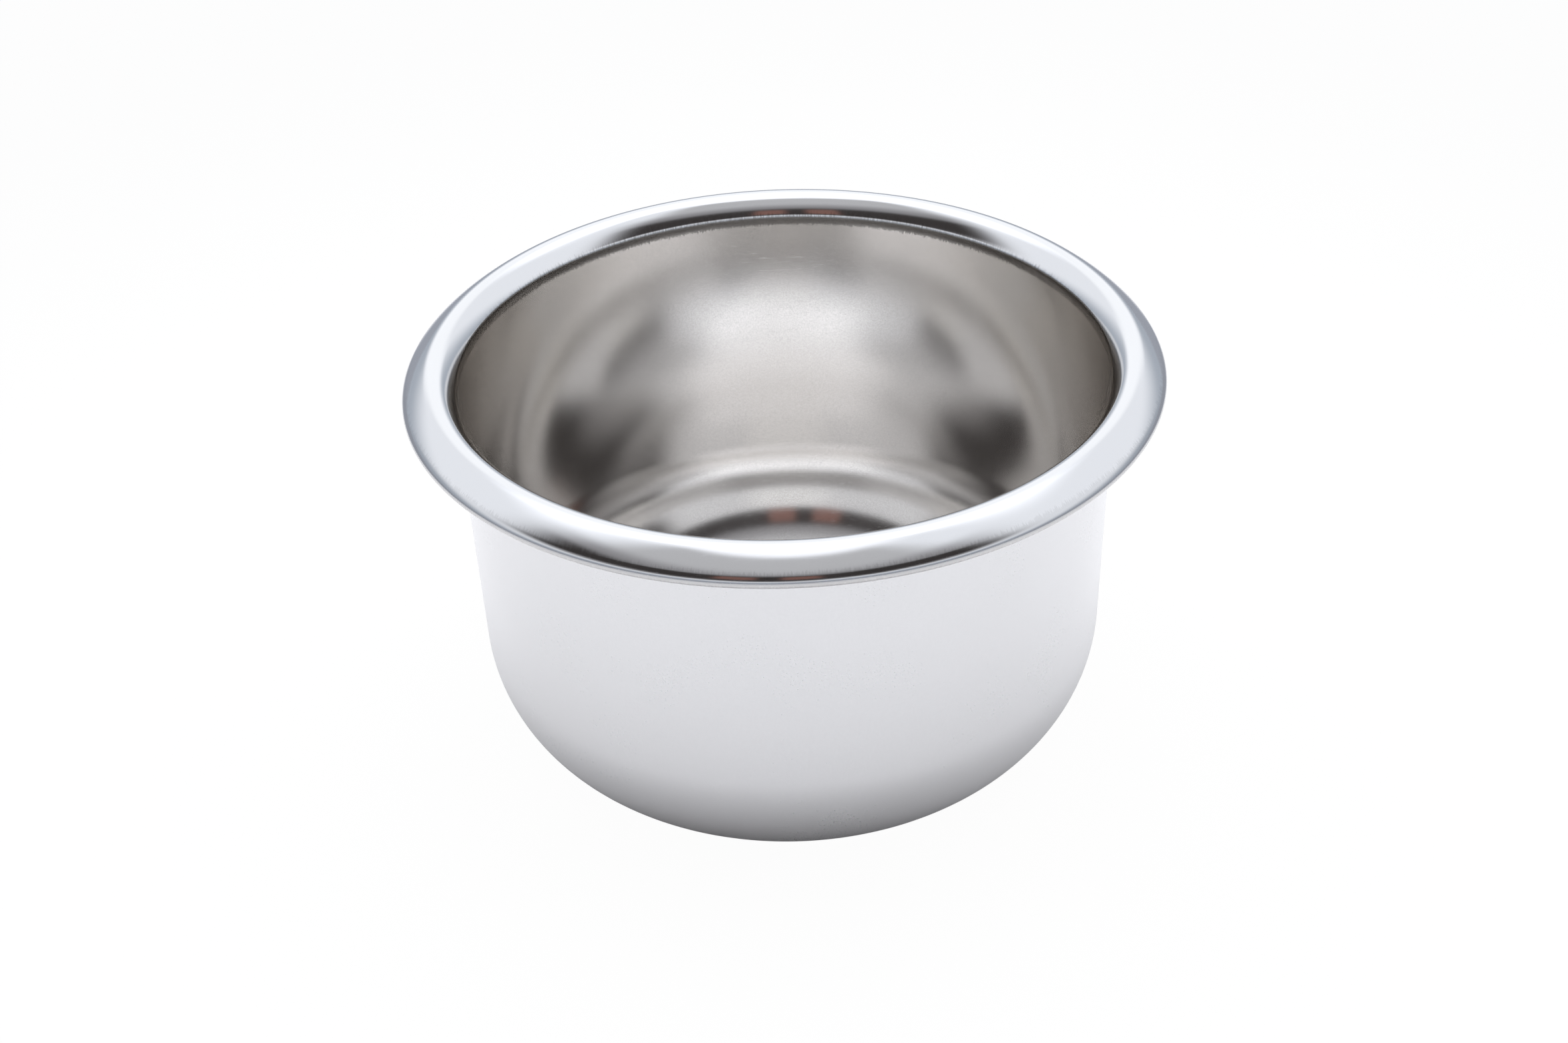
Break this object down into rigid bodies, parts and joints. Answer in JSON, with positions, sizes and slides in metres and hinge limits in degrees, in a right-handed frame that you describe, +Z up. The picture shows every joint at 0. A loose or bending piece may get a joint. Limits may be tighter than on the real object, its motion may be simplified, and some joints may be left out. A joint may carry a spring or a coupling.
{
  "type": "shaving bowl",
  "caption": "Open round shaving bowl drawn from one steel sheet, with a near-straight wall, a large rounded corner, a small flat base and a broad sloping rolled rim.",
  "frame": {"origin": "centre of the flat base, on the surface that the bowl stands on", "axes": "+Z up along the axis that the bowl is turned about; X and Y are equivalent"},
  "size_m": [0.1, 0.1, 0.0594],
  "materials": {
    "brushed_steel": "polished rim, fine satin lining, softly polished outside"
  },
  "bodies": {
    "root": {"bowl": "brushed_steel"}
  },
  "joints": []
}
